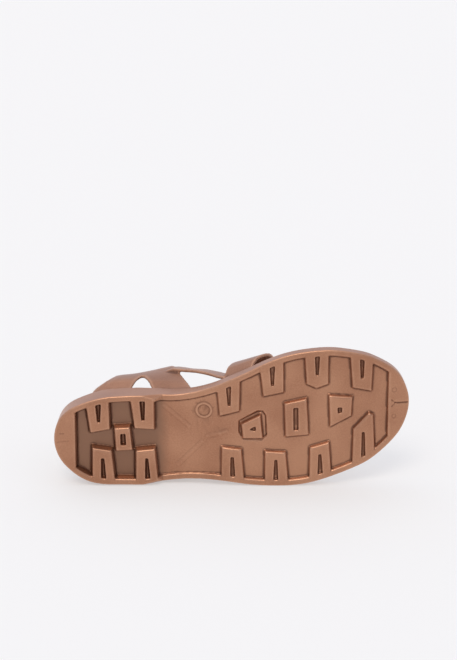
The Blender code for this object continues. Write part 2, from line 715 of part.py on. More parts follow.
def sheet_piece(name, grid, finish, core):
    """Wall of the upper's thickness under a grid of outer points, which face away from the core."""
    rows, columns = len(grid), len(grid[0])
    inner = []
    for i in range(rows):
        line = []
        for j in range(columns):
            along = grid[min(i + 1, rows - 1)][j] - grid[max(i - 1, 0)][j]
            across = grid[i][min(j + 1, columns - 1)] - grid[i][max(j - 1, 0)]
            normal = along.cross(across).normalized()
            if normal.dot(grid[i][j] - core(grid[i][j])) < 0:
                normal.negate()
            line.append(grid[i][j] - normal * UPPER_WALL)
        inner.append(line)
    mesh = bmesh.new()
    top = [[mesh.verts.new(p) for p in line] for line in grid]
    low = [[mesh.verts.new(p) for p in line] for line in inner]
    for i in range(rows - 1):
        for j in range(columns - 1):
            mesh.faces.new((top[i][j], top[i][j + 1], top[i + 1][j + 1], top[i + 1][j]))
            mesh.faces.new((low[i][j], low[i + 1][j], low[i + 1][j + 1], low[i][j + 1]))
    border = [(i, 0) for i in range(rows)] + [(rows - 1, j) for j in range(1, columns)]
    border += [(i, columns - 1) for i in range(rows - 2, -1, -1)]
    border += [(0, j) for j in range(columns - 2, 0, -1)]
    for (i, j), (k, m) in zip(border, border[1:] + border[:1]):
        mesh.faces.new((top[i][j], top[k][m], low[k][m], low[i][j]))
    return finished(name, mesh, finish)


def back_point(way, height, side):
    """Point on the outside of the quarters and the loop: way round from the back, height, side."""
    z = height * LOOP_HEIGHT
    back, medial_half, lateral_half, medial_flare, lateral_flare = smooth(BACK, height)
    reach = HEEL_REACH * LENGTH
    quarter = 4 / 3 * HEEL_REACH
    turn = min(way / quarter, 1.0) * pi / 2
    beyond = max(way - quarter, 0.0) * LENGTH
    x = back * LENGTH + reach * (1 - cos(turn)) + beyond
    half, flare = (medial_half, medial_flare) if side < 0 else (lateral_half, lateral_flare)
    y = half * BALL_WIDTH * sin(turn) + flare * beyond
    return seated(Vector((x, side * y, z)), side)


def foot_z(x):
    """Underside of the straps' feet, inside the upper's rim."""
    return side_z(x) - WELL_DEPTH + CLEARANCE + FOOT_SINK


def seated(point, side):
    """Bring a low point of a strap onto the line of the straps' feet, inside the lip."""
    foot = side_of(FOOT_LOOP, point.x, side) - side * FOOT_EASE
    rise = min(max((point.z - side_z(point.x)) / FOOT_RISE, 0.0), 1.0)
    rise = rise * rise * (3 - 2 * rise)
    return Vector((point.x, foot + (point.y - foot) * rise, max(point.z, foot_z(point.x))))


def quarter_band(finish):
    """Both quarters and the loop behind the ankle, as one wall from rim to rim."""
    def half(pattern, side):
        rear, front = (curve_through([Vector((row[k], row[k + 1], 0)) for row in pattern], BAND_STEPS)
                       for k in (0, 2))
        lines = []
        for a, b in zip(rear, front):
            spots = [a.lerp(b, k / BAND_ACROSS) for k in range(BAND_ACROSS + 1)]
            lines.append([back_point(p.x, p.y, side) for p in spots])
        return lines

    medial = half(MEDIAL_PATTERN, -1)
    lateral = half(LATERAL_PATTERN, 1)
    grid = medial + list(reversed(lateral))[1:]
    return sheet_piece("quarter_band", grid, finish, behind)


def cross_strap(name, table, finish):
    """Strap over the foot from the medial to the lateral rim."""
    def place(share):
        x, y, z = share[0] * LENGTH, share[1] * BALL_WIDTH, share[2] * VAMP_HEIGHT
        return Vector((x, y, z))

    rear, front = (curve_through([place(row[k]) for row in table], STRAP_STEPS) for k in (0, 1))
    grid = [[a.lerp(b, k / STRAP_ACROSS) for k in range(STRAP_ACROSS + 1)] for a, b in zip(rear, front)]
    last = len(grid) - 1
    grid = [[seated(p, -1 if i < last / 2 else 1) for p in line] for i, line in enumerate(grid)]
    return sheet_piece(name, grid, finish, beneath)


def t_bar(finish):
    """Bar along the ridge of the foot, with a rounded top under the ankle strap."""
    rows = [Vector((along * LENGTH, middle * BALL_WIDTH, height * INSTEP_HEIGHT))
            for along, middle, height, _ in T_BAR]
    middles = curve_through(rows, STRAP_STEPS)
    widths = curve_through([Vector((row[3], 0, 0)) for row in T_BAR], STRAP_STEPS)
    grid = []
    for p, width in zip(middles, widths):
        line = []
        for k in range(STRAP_ACROSS + 1):
            t = k / STRAP_ACROSS * 2 - 1
            offset = t * width.x * BAR_WIDTH / 2
            line.append(p + Vector((0, offset, -BAR_CROWN * (t * width.x)**2)))
        grid.append(line)
    return sheet_piece("t_bar", grid, finish, beneath)


def side_bar(name, start, table, side, finish):
    """Narrow bar from the top of a quarter to the foot of the ball strap."""
    def seat(along, height):
        point, normal = quarter_frame(along, height, side)
        return point - normal * STRAP_SINK

    def place(share):
        return Vector((share[0] * LENGTH, share[1] * BALL_WIDTH, share[2] * LOOP_HEIGHT))

    lower = [seat(along, low) for along, low, high in start] + [place(low) for low, high in table]
    upper = [seat(along, high) for along, low, high in start] + [place(high) for low, high in table]
    lower, upper = curve_through(lower, STRAP_STEPS), curve_through(upper, STRAP_STEPS)
    grid = [[a.lerp(b, k / BAR_ACROSS) for k in range(BAR_ACROSS + 1)] for a, b in zip(lower, upper)]
    return sheet_piece(name, grid, finish, beneath)


def quarter_frame(along, height, side):
    """Point on the outside of a quarter at a place along the length, and the direction out of it."""
    low, high = 0.0, 1.0
    for _ in range(HALVINGS):
        way = (low + high) / 2
        if back_point(way, height, side).x < along * LENGTH:
            low = way
        else:
            high = way
    forward = back_point(way + NEAR, height, side) - back_point(way - NEAR, height, side)
    upward = back_point(way, height + NEAR, side) - back_point(way, height - NEAR, side)
    normal = forward.cross(upward).normalized()
    if normal.y * side < 0:
        normal.negate()
    return back_point(way, height, side), normal


def ankle_strap(finish):
    """Strap from the medial quarter over the T-bar to its end outside the lateral quarter."""
    spread = [k / STRAP_ACROSS * 2 - 1 for k in range(STRAP_ACROSS + 1)]

    def seat_row(along, height, width, side, lift):
        row = []
        for t in spread:
            reach = height + t * width * STRAP_WIDTH / 2 / LOOP_HEIGHT
            point, normal = quarter_frame(along, reach, side)
            row.append(point + normal * lift)
        return row

    rows = [seat_row(*seat, -1, -STRAP_SINK) for seat in STRAP_START]
    for along, across, height, lean in ANKLE_STRAP:
        middle = Vector((along * LENGTH, across * BALL_WIDTH, height * LOOP_HEIGHT))
        up = Vector((-lean, 0, 1)).normalized()
        rows.append([middle + up * (t * STRAP_WIDTH / 2) for t in spread])
    rows += [seat_row(*seat, 1, STRAP_LIFT + UPPER_WALL) for seat in STRAP_END]
    columns = [curve_through([row[k] for row in rows], STRAP_STEPS) for k in range(len(spread))]
    grid = [list(line) for line in zip(*columns)]
    return sheet_piece("ankle_strap", grid, finish, behind)


def cutter(name, points, side, finish):
    """Prism through one side of the upper, from a shape in the side view."""
    mesh = bmesh.new()
    near = [mesh.verts.new((x, side * CUT_START, z)) for x, z in points]
    far = [mesh.verts.new((x, side * BALL_WIDTH, z)) for x, z in points]
    ring_faces(mesh, near, far)
    mesh.faces.new(near)
    mesh.faces.new(far)
    made = finished(name, mesh, finish)
    made.hide_render = True
    made.display_type = "WIRE"
    return made


def rounded(corners, radius):
    """Round the corners of a flat shape."""
    shape = []
    count = len(corners)
    for i, corner in enumerate(corners):
        here = Vector(corner)
        before = (Vector(corners[i - 1]) - here).normalized()
        after = (Vector(corners[(i + 1) % count]) - here).normalized()
        reach = radius / max((before - after).length / 2, 0.3)
        a, b = here + before * reach, here + after * reach
        for k in range(CORNER_STEPS + 1):
            t = k / CORNER_STEPS
            shape.append(tuple((1 - t)**2 * a + 2 * t * (1 - t) * here + t * t * b))
    return shape


def apply(target, other, kind):
    """Run one Boolean and drop the tool."""
    change = target.modifiers.new(kind, "BOOLEAN")
    change.operation = kind
    change.solver = "EXACT"
    change.object = other
    graph = bpy.context.evaluated_depsgraph_get()
    data = bpy.data.meshes.new_from_object(target.evaluated_get(graph))
    target.modifiers.clear()
    old = target.data
    target.data = data
    bpy.data.meshes.remove(old)
    bpy.data.objects.remove(other)


def turned(name, profile, point, normal, finish):
    """Round piece about the stud's line; the profile gives (radius, height above the quarter)."""
    mesh = bmesh.new()
    frame = normal.to_track_quat("Z", "Y").to_matrix()
    rings = []
    for radius, height in profile:
        if radius == 0:
            rings.append([mesh.verts.new(point + frame @ Vector((0, 0, height)))])
            continue
        turns = [2 * pi * k / STUD_FACES for k in range(STUD_FACES)]
        spots = [Vector((radius * cos(turn), radius * sin(turn), height)) for turn in turns]
        rings.append([mesh.verts.new(point + frame @ spot) for spot in spots])
    for lower, upper in zip(rings, rings[1:]):
        for k in range(STUD_FACES):
            m = (k + 1) % STUD_FACES
            if len(lower) == 1:
                mesh.faces.new((lower[0], upper[m], upper[k]))
            elif len(upper) == 1:
                mesh.faces.new((lower[k], lower[m], upper[0]))
            else:
                mesh.faces.new((lower[k], lower[m], upper[m], upper[k]))
    return finished(name, mesh, finish)


def build_upper(finish):
    """All straps joined into one moulded wall, open between them."""
    upper = flange_piece(finish)
    upper.name = "upper"
    pieces = [
        quarter_band(finish),
        cross_strap("ball_strap", BALL_STRAP, finish),
        cross_strap("toe_strap", TOE_STRAP, finish),
        t_bar(finish),
        side_bar("medial_bar", MEDIAL_BAR_START, MEDIAL_BAR, -1, finish),
        side_bar("lateral_bar", LATERAL_BAR_START, LATERAL_BAR, 1, finish),
        ankle_strap(finish),
    ]
    for piece in pieces:
        apply(upper, piece, "UNION")
    for side in (-1, 1):
        corners = []
        for way, height in TRIANGLE:
            p = back_point(way, height, side)
            corners.append((p.x, p.z))
        shape = rounded(corners, TRIANGLE_ROUND)
        apply(upper, cutter("triangle_cut", shape, side, finish), "DIFFERENCE")
    point, normal = quarter_frame(*STUD_PLACE, 1)
    hole = STUD_HOLE / 2
    profile = ((0, -DRILL_REACH), (hole, -DRILL_REACH), (hole, DRILL_REACH), (0, DRILL_REACH))
    apply(upper, turned("stud_drill", profile, point, normal, finish), "DIFFERENCE")
    return upper


def build_stud(finish):
    """Stud that closes the strap: domed head, post and inner disc."""
    point, normal = quarter_frame(*STUD_PLACE, 1)
    out = STRAP_LIFT + UPPER_WALL + 2 * CLEARANCE
    into = -UPPER_WALL - 2 * CLEARANCE
    head, post, foot = STUD_HEAD / 2, STUD_POST / 2, STUD_FOOT / 2
    profile = (
        (0, into - STUD_FOOT_THICK), (foot, into - STUD_FOOT_THICK), (foot, into), (post, into), (post, out),
    ) + tuple((radius * head, out + height * STUD_THICK) for radius, height in STUD_DOME)
    return turned("stud", profile, point, normal, finish)


def lay_down(pieces):
    """Lay the shoe on its lateral side, until the sole's edge and the upper touch the floor."""
    sole = [v.co for v in pieces["sole"].data.vertices]
    rest = [v.co for name in ("upper", "stud") for v in pieces[name].data.vertices]

    def lowest(points, lean):
        return min(-p.y * cos(lean) - p.z * sin(lean) for p in points)

    low, high = -pi / 6, pi / 4
    for _ in range(HALVINGS):
        lean = (low + high) / 2
        if lowest(rest, lean) < lowest(sole, lean):
            high = lean
        else:
            low = lean
    turn = Matrix.Rotation(-(pi / 2 + lean), 4, "X")
    everything = [turn @ v.co for piece in pieces.values() for v in piece.data.vertices]
    lows = [min(p[k] for p in everything) for k in range(3)]
    highs = [max(p[k] for p in everything) for k in range(3)]
    carrier = bpy.data.objects.new("lying_shoe", None)
    bpy.context.scene.collection.objects.link(carrier)
    carrier.rotation_euler = (-(pi / 2 + lean), 0, 0)
    carrier.location = (-(lows[0] + highs[0]) / 2, -(lows[1] + highs[1]) / 2, -lows[2])
    for piece in pieces.values():
        piece.parent = carrier


for old in list(bpy.data.objects):
    bpy.data.objects.remove(old)

OUTLINE_LOOP = outline_loop()
FOOT_LOOP = inset(OUTLINE_LOOP, foot_inset)
RIM_INNER = inset(inset(OUTLINE_LOOP, EDGE_CHAMFER), TREAD_RIM)
RIM_MIDDLE = inset(inset(OUTLINE_LOOP, EDGE_CHAMFER), TREAD_RIM * 0.5)

SOLE_FINISH = material("outsole_bronze", (0.39, 0.20, 0.12), 0.5, 0.6)
UPPER_FINISH = material("upper_bronze", (0.42, 0.22, 0.13), 0.35, 0.6)
INSOLE_FINISH = material("insole_bronze", (0.36, 0.19, 0.11), 0.5, 0.5)
STUD_FINISH = material("stud_bronze", (0.40, 0.21, 0.12), 0.3, 0.7)

PIECES = {
    "sole": build_sole(SOLE_FINISH),
    "insole": build_insole(INSOLE_FINISH),
    "upper": build_upper(UPPER_FINISH),
    "stud": build_stud(STUD_FINISH),
}
lay_down(PIECES)
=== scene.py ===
"""Dressed model of the left jelly sandal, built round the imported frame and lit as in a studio."""
import json
from math import atan, cos, radians, sin

import bpy
import bmesh
import numpy as np
from bpy.props import FloatProperty, PointerProperty, StringProperty
from mathutils import Matrix, Vector


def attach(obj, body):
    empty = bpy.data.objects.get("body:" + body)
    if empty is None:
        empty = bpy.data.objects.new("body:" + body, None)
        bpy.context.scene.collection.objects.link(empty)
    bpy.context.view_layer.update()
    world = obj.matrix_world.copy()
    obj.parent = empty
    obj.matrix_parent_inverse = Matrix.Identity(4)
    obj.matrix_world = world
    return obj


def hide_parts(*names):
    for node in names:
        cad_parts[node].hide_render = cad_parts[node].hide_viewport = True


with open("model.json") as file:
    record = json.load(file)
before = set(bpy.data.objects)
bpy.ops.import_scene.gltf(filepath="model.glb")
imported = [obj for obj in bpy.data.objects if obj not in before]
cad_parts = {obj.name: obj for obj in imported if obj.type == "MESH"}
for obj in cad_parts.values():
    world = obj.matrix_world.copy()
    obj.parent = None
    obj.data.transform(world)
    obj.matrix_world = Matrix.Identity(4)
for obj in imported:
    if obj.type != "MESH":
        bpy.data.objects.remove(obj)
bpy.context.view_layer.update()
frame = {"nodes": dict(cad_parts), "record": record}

bl_info = {
    "name": "Jelly sandal",
    "version": (1, 0, 0),
    "blender": (4, 5, 0),
    "location": "View3D > Sidebar > Sandal",
    "description": "Dresses the packed left jelly sandal and sets up its studio",
    "category": "Object",
}

MM = 0.001

# The sandal's own frame in the lying pose: toe to +X, lateral side to +Y, straps to +Z
HEEL_MOUNT_ALONG = 8 * MM       # the heel mount from the heel's tip
MOUNTS = {mount["name"]: mount for mount in frame["record"]["mounts"]}
STRAPWARD = -Vector(MOUNTS["heel_tread"]["axis"])
TOEWARD = Vector((1, 0, 0))
OUTWARD = STRAPWARD.cross(TOEWARD)
HEEL_TIP = Vector(MOUNTS["heel_tread"]["pos_m"]) - TOEWARD * HEEL_MOUNT_ALONG
STANDING = Matrix((TOEWARD, OUTWARD, STRAPWARD)).transposed().to_4x4()
STANDING.translation = HEEL_TIP

# The photograph's view: 457 by 660 pixels, the camera 22 degrees off the tread's normal, to the medial side
VIEW_OFF_TREAD = radians(22)
PIXELS_HIGH = 660
PIXELS_PER_MM = 1.42
AIM_ALONG = 122.9 * MM          # place on the tread that lies in the middle column
AIM_ROWS_BELOW = 110            # how far below the picture's middle that place lies
CAMERA_AWAY = 1800 * MM
SENSOR = 36.0
CLIP_END = 50                   # the camera's far limit, beyond the paper

# Studio: glow of the walls at the sandal's sides, how it grows towards the backdrop and the ceiling, and
# the paper that runs far behind the sandal and glows a little itself, in metres
SIDE_GLOW = 0.65
BACKDROP_GAIN = 0.20
CEILING_GAIN = 0.25
STUDIO_WHITE = "#F2F4FF"
PAPER_GLOW = 0.43
PAPER_WHITE = "#FFFFFF"
PAPER_ROUGHNESS = 0.9
PAPER_GLOSS = 0.1
PAPER_SIZE = 16
PAPER_BACK = 3
# Lamps, columns: name, the side it shines from, width in degrees, strength
SOFTBOXES = (
    ("overhead_softbox", (-0.35, 0.25, 1.0), 40, 0.20),
    ("front_softbox", (-0.15, -0.80, 0.95), 24, 0.93),
)
LAMP_WHITE = "#FFF3E2"

# The solids' triangles: points this close are one point, and faces this flat to each other are one face
MERGE_GAP = 0.01 * MM
FLAT_ANGLE = radians(0.6)

# Outsole's skin: steps across a lug's shoulder, rounds of smoothing, and triangles after thinning
SHOULDER_STEPS = 3
SOLE_SOFTENING = 3
SOLE_TRIANGLES = 185000
RIM_FADE = (3 * MM, 8 * MM)     # the outline's rounding fades out between these, in from the edge

# Which faces of the outsole are which, from how far their normals lean towards the straps
CHAMFER_TILT = (-0.85, -0.5)
SIDE_TILT = 0.2
WALL_TILT = 0.6
LAND_TILT = 0.9

# Heel's deep tread, inside its rim and behind its breast, and the least drop at which an edge is a lug's
# shoulder and not a slit's
TREAD_RIM = 3.2 * MM
HEEL_BREAST = 74 * MM
HEEL_DEPTH = 6 * MM
LUG_GAP = 6 * MM
HEEL_SHOULDER = 4.5 * MM
FORE_SHOULDER = 2.3 * MM

# Skins of the upper and the stud, and the footbed's rounded edge
STRAP_SOFTENING = 6
STUD_CELL = 0.25 * MM
STUD_SOFTENING = 6
FOOTBED_EDGE = 0.5 * MM
FOOTBED_STEPS = 3
FOOTBED_EDGE_ANGLE = radians(40)
FOOTBED_SMOOTH_ANGLE = radians(32)

# What the pieces keep for their materials: how deep a point lies in the heel's tread, which sets the painted
# shade there, and how far it lies in a hollow or out on an edge, which sets painted shade in hollows and a
# lightening of edges, partly rubbed wear and partly a painted highlight, found by smoothing a copy so many
# times and full at that distance
RECESS_SHADE = "recess_shade"
SHADE_AND_RUB_SHEEN = "shade_and_rub_sheen"
SHADE_AND_RUB_SHEEN_REACH = 12
SHADE_AND_RUB_SHEEN_FULL = 0.12 * MM

# Finishes of the PVC, columns: roughness, metal share, clear skin, grain's size and lift in millimetres
FINISHES = {
    "satin_moulded_pvc": (0.40, 0.85, 0.2, 1.2, 0.08),
    "fine_grained_pvc_footbed": (0.6, 0.45, 0.05, 0.9, 0.08),
    "glossy_moulded_pvc": (0.48, 0.55, 0.3, 1.5, 0.02),
    "glossy_moulded_pvc_stud": (0.32, 0.6, 0.4, 1.5, 0.02),
}
PVC_IOR = 1.52
SKIN_IOR = 1.5
SKIN_ROUGHNESS = 0.28
# The flake's drift and the flakes: sizes in millimetres, share of the flakes, and where dull and bright lie
CLOUD_SIZE = 38
FLAKE_SIZE = 0.8
FLAKE_SHARE = 0.5
DULL_AT, BRIGHT_AT = 0.32, 0.68
# Waviness of the soft walls, in millimetres
WAVE_SIZE = 14
WAVE_LIFT = 0.25
GRAIN_STRENGTH = 0.5
WAVE_STRENGTH = 0.6
# Painted shade in the hollows, and the edges' lightening, partly rubbed wear and partly a painted highlight:
# colour, value of the hollow-and-edge mask at which each starts and is full, and how much it covers then
HOLLOW_SHADE = "#522F20"
HOLLOW_SHADE_SPAN = (0.08, 0.75)
HOLLOW_SHADE_SHARE = 0.75
# lightening of the edges: partly rubbed wear, partly a painted highlight
RUB_AND_SHEEN = "#E0B294"
RUB_AND_SHEEN_SPAN = (-0.15, -1.0)
RUB_AND_SHEEN_SHARE = 0.3375

# Marks that the mould left in the tread, in millimetres. Lines, columns: start and end as along and
# across, width, lift towards the ground
MARK_LINES = (
    ((77.5, -23.9), (95.1, -8.5), 2.0, 0.22),
    ((87.3, 20.7), (104.2, 3.0), 2.0, 0.23),
    ((108.0, -1.5), (121.0, -5.5), 2.0, 0.23),
    ((114.0, -8.0), (119.5, 0.5), 1.8, 0.13),
    ((240.0, -25.7), (249.0, -25.7), 1.1, -0.40),
    ((237.6, -28.0), (240.2, -25.7), 1.0, -0.22),
    ((237.8, -23.2), (240.2, -25.7), 1.0, -0.22),
    ((2.5, 1.6), (10.0, 0.8), 1.0, -0.10),
    ((4.2, -4.6), (6.8, -4.6), 0.9, -0.14),
)
# Rings, columns: middle as along and across, radius, width, lift
MARK_RINGS = (
    ((105.6, -21.0), 5.1, 1.2, 0.41),
    ((239.4, -35.5), 1.5, 1.1, -0.13),
    ((239.4, -15.8), 1.3, 1.1, -0.13),
)
# Closed grooves, columns: corners as along and across, width, lift
MARK_LOOPS = (
    (((130.5, -13.4), (143.2, -20.0), (146.8, -20.3), (148.7, -17.0), (149.4, -2.6), (146.0, 1.0),
      (133.4, 0.3), (130.5, -4.8)), 0.9, -0.40),
)
# Soft swellings, columns: middle as along and across, half length, half width, lift
MARK_SWELLS = (
    ((117.0, -4.0), 8.0, 5.0, 0.45),
    ((139.0, -20.0), 9.0, 3.0, 0.15),
    ((176.0, -9.0), 8.0, 4.0, 0.15),
)


def linear(code):
    """An sRGB hex colour as linear red, green, blue and alpha, by the sRGB curve."""
    shares = [int(code.lstrip("#")[k:k + 2], 16) / 255 for k in (0, 2, 4)]
    return [s / 12.92 if s <= 0.04045 else ((s + 0.055) / 1.055) ** 2.4 for s in shares] + [1.0]


def add_node(tree, kind, settings=None, **links):
    """Add one node with its settings; a link or value goes to the input of that name or number."""
    node = tree.nodes.new(kind)
    for name, value in (settings or {}).items():
        setattr(node, name, value)
    for name, value in links.items():
        socket = node.inputs[int(name[1:])] if name[0] == "n" and name[1:].isdigit() else \
            node.inputs[name.replace("_", " ")]
        if isinstance(value, bpy.types.NodeSocket):
            tree.links.new(value, socket)
        else:
            socket.default_value = value
    return node


def ramp(tree, source, stops):
    """Colour ramp from a table of place and hex colour."""
    node = add_node(tree, "ShaderNodeValToRGB", n0=source)
    marks = node.color_ramp.elements
    while len(marks) < len(stops):
        marks.new(0.5)
    for mark, (place, code) in zip(marks, stops):
        mark.position = place
        mark.color = linear(code)
    return node.outputs["Color"]


def set_inputs(node, **values):
    """Set a node's inputs to constants, by their names."""
    for name, value in values.items():
        node.inputs[name.replace("_", " ")].default_value = value


def new_material(name):
    """Material with an empty node tree, its output and its principled shader."""
    made = bpy.data.materials.new(name)
    made.use_nodes = True
    tree = made.node_tree
    tree.nodes.clear()
    output = add_node(tree, "ShaderNodeOutputMaterial")
    shader = add_node(tree, "ShaderNodeBsdfPrincipled")
    tree.links.new(shader.outputs["BSDF"], output.inputs["Surface"])
    return made, tree, shader


def per_metre(millimetres):
    """Scale of a pattern that repeats about every so many millimetres."""
    return 1 / (millimetres * MM)


def noise(tree, place, millimetres, detail):
    """Noise of a size in millimetres."""
    return add_node(tree, "ShaderNodeTexNoise", Vector=place, Scale=per_metre(millimetres),
                    Detail=detail).outputs["Fac"]


def tinted(tree, colour, share, code):
    """Blend a colour towards a hex colour by a share."""
    return add_node(tree, "ShaderNodeMix", {"data_type": "RGBA"}, n0=share, n6=colour,
                    n7=linear(code)).outputs[2]


def covered(tree, source, span, full):
    """Share from 0 to full as the source goes from one end of a span to the other."""
    return add_node(tree, "ShaderNodeMapRange", n0=source, n1=span[0], n2=span[1], n3=0.0,
                    n4=full).outputs[0]


def moulded_pvc(name, light, dark, recess_shade=None):
    """Soft PVC with bronze flake, moulded: the flake gives a silky metal glow under a thin clear skin."""
    # the flake makes the body a satin metal, and the clear PVC over it adds a neutral gloss at low angles
    roughness, metal, skin, grain_size, grain_lift = FINISHES[name]
    made, tree, shader = new_material(name)
    place = add_node(tree, "ShaderNodeTexCoord").outputs["Object"]
    # slow drift of the flake as the melt flowed
    cloud = noise(tree, place, CLOUD_SIZE, 2.0)
    # the flakes themselves are finer than a pixel, so they are drawn larger than they are
    flake = noise(tree, place, FLAKE_SIZE, 1.0)
    mixed = add_node(tree, "ShaderNodeMath", {"operation": "MULTIPLY_ADD"}, n0=flake, n1=FLAKE_SHARE,
                     n2=cloud).outputs[0]
    shade = add_node(tree, "ShaderNodeMath", {"operation": "SUBTRACT"}, n0=mixed,
                     n1=FLAKE_SHARE / 2).outputs[0]
    colour = ramp(tree, shade, ((DULL_AT, dark), (BRIGHT_AT, light)))
    if recess_shade:
        # painted shade: the heel's deep pockets are tinted browner and darker, standing in for the little
        # light that reaches them
        deep = add_node(tree, "ShaderNodeAttribute", {"attribute_name": RECESS_SHADE}).outputs["Fac"]
        colour = tinted(tree, colour, deep, recess_shade)
    # painted shade darkens the hollows, and the edges are lightened, partly as rubbed wear and partly as a
    # painted highlight
    shade_and_rub_sheen = add_node(tree, "ShaderNodeAttribute", {"attribute_name": SHADE_AND_RUB_SHEEN}).outputs["Fac"]
    colour = tinted(tree, colour, covered(tree, shade_and_rub_sheen, HOLLOW_SHADE_SPAN, HOLLOW_SHADE_SHARE), HOLLOW_SHADE)
    colour = tinted(tree, colour, covered(tree, shade_and_rub_sheen, RUB_AND_SHEEN_SPAN, RUB_AND_SHEEN_SHARE), RUB_AND_SHEEN)
    tree.links.new(colour, shader.inputs["Base Color"])
    set_inputs(shader, Metallic=metal, Roughness=roughness, IOR=PVC_IOR, Coat_Weight=skin,
               Coat_Roughness=SKIN_ROUGHNESS, Coat_IOR=SKIN_IOR)
    # mould grain, with the slight waviness of thick soft walls
    grain = add_node(tree, "ShaderNodeBump", Strength=GRAIN_STRENGTH, Distance=grain_lift * MM,
                     Height=noise(tree, place, grain_size, 2.0))
    swell = add_node(tree, "ShaderNodeBump", Strength=WAVE_STRENGTH, Distance=WAVE_LIFT * MM,
                     Height=noise(tree, place, WAVE_SIZE, 1.0), Normal=grain.outputs["Normal"])
    tree.links.new(swell.outputs["Normal"], shader.inputs["Normal"])
    return made


def select_only(piece):
    """Leave one object selected and active."""
    bpy.ops.object.select_all(action="DESELECT")
    piece.select_set(True)
    bpy.context.view_layer.objects.active = piece


def node_copy(node, name):
    """Start a piece from a CAD node: its own mesh, with the loose triangles merged."""
    piece = bpy.data.objects.new(name, frame["nodes"][node].data.copy())
    bpy.context.scene.collection.objects.link(piece)
    select_only(piece)
    bpy.ops.object.mode_set(mode="EDIT")
    bpy.ops.mesh.select_all(action="SELECT")
    bpy.ops.mesh.remove_doubles(threshold=MERGE_GAP)
    bpy.ops.object.mode_set(mode="OBJECT")
    return piece


def shaped(piece, kind, **settings):
    """Add one modifier and apply it."""
    select_only(piece)
    bpy.ops.object.modifier_add(type=kind)
    change = piece.modifiers[-1]
    for name, value in settings.items():
        setattr(change, name, value)
    bpy.ops.object.modifier_apply(modifier=change.name)


def skinned(piece, cell):
    """Cover a piece with one even moulded skin of cells of that size."""
    shaped(piece, "REMESH", mode="VOXEL", voxel_size=cell, use_smooth_shade=True)


def smoothed(piece, times):
    """Soften a piece by moving each point half way to its neighbours' middle, so many times."""
    shaped(piece, "SMOOTH", factor=0.5, iterations=times)


def finished(piece, material, node):
    """Give a piece its material and slot, ride it on the part, and let it stand for its CAD node."""
    piece.data.materials.clear()
    piece.data.materials.append(material)
    select_only(piece)
    bpy.ops.object.transform_apply(location=True, rotation=True, scale=True)
    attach(piece, "root")
    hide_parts(node)


def select_shoulders(piece):
    """Select the edges where the tread's land drops to the pockets' floor; the slits are shallower."""
    mesh = bmesh.from_edit_mesh(piece.data)
    bpy.ops.mesh.select_all(action="DESELECT")
    to_sandal = STANDING.inverted()
    for edge in mesh.edges:
        if len(edge.link_faces) != 2:
            continue
        walls = [face for face in edge.link_faces if abs(face.normal.dot(STRAPWARD)) < WALL_TILT]
        lands = [face for face in edge.link_faces if face.normal.dot(STRAPWARD) < -LAND_TILT]
        if len(walls) != 1 or len(lands) != 1:
            continue
        heights = [(to_sandal @ vertex.co).z for vertex in walls[0].verts]
        middle = to_sandal @ ((edge.verts[0].co + edge.verts[1].co) / 2)
        drop = HEEL_SHOULDER if middle.x < HEEL_BREAST + LUG_GAP else FORE_SHOULDER
        if max(heights) - min(heights) > drop and middle.z < (max(heights) + min(heights)) / 2:
            edge.select_set(True)
    bmesh.update_edit_mesh(piece.data)


def point_values(piece, what):
    """Places or normals of a mesh's points, a row for each."""
    values = np.empty(3 * len(piece.data.vertices))
    piece.data.vertices.foreach_get(what, values)
    return values.reshape(-1, 3)


def on_ground(places):
    """Along and across of points, in metres, seen square to the tread."""
    offset = places - np.array(HEEL_TIP)
    return np.stack([offset @ np.array(TOEWARD), offset @ np.array(OUTWARD)], axis=1)


def outline_of(piece):
    """Corners of the outsole's outline in order: the edges between its worn lower edge and its side wall."""
    mesh = bmesh.new()
    mesh.from_mesh(piece.data)
    beside = {}
    for edge in mesh.edges:
        tilts = sorted(face.normal.dot(STRAPWARD) for face in edge.link_faces)
        if len(tilts) == 2 and CHAMFER_TILT[0] < tilts[0] < CHAMFER_TILT[1] and abs(tilts[1]) < SIDE_TILT:
            a, b = edge.verts
            beside.setdefault(a.index, []).append(b.index)
            beside.setdefault(b.index, []).append(a.index)
    start = min(beside)
    chain, last, here = [start], None, start
    while True:
        following = [index for index in beside[here] if index != last]
        last, here = here, following[0]
        if here == start:
            break
        chain.append(here)
    mesh.verts.ensure_lookup_table()
    corners = on_ground(np.array([mesh.verts[index].co for index in chain]))
    mesh.free()
    return corners


def round_outline(piece, corners):
    """Bow each straight run of the outline into the arc that it stands for, fading out inside the rim."""
    places = point_values(piece, "co")
    ground = on_ground(places)
    runs = np.roll(corners, -1, axis=0) - corners
    lengths = np.linalg.norm(runs, axis=1)
    before = np.roll(runs, 1, axis=0)
    turns = np.arctan2(before[:, 0] * runs[:, 1] - before[:, 1] * runs[:, 0], np.sum(before * runs, axis=1))
    way = 1.0 if turns.sum() > 0 else -1.0
    nearest = np.full(len(places), np.inf)
    bow = np.zeros((len(places), 2))
    for corner, run, length, turn in zip(corners, runs, lengths, (turns + np.roll(turns, -1)) / 2):
        share = np.clip((ground - corner) @ run / length ** 2, 0, 1)
        distance = np.linalg.norm(ground - corner - share[:, None] * run, axis=1)
        closer = distance < nearest
        nearest[closer] = distance[closer]
        outward = np.array((run[1], -run[0])) * way / length
        bow[closer] = (length * turn * way / 2 * share * (1 - share))[closer, None] * outward
    bow *= np.clip((RIM_FADE[1] - nearest) / (RIM_FADE[1] - RIM_FADE[0]), 0, 1)[:, None]
    places += bow[:, :1] * np.array(TOEWARD) + bow[:, 1:] * np.array(OUTWARD)
    piece.data.vertices.foreach_set("co", places.ravel())
    piece.data.update()
    return nearest


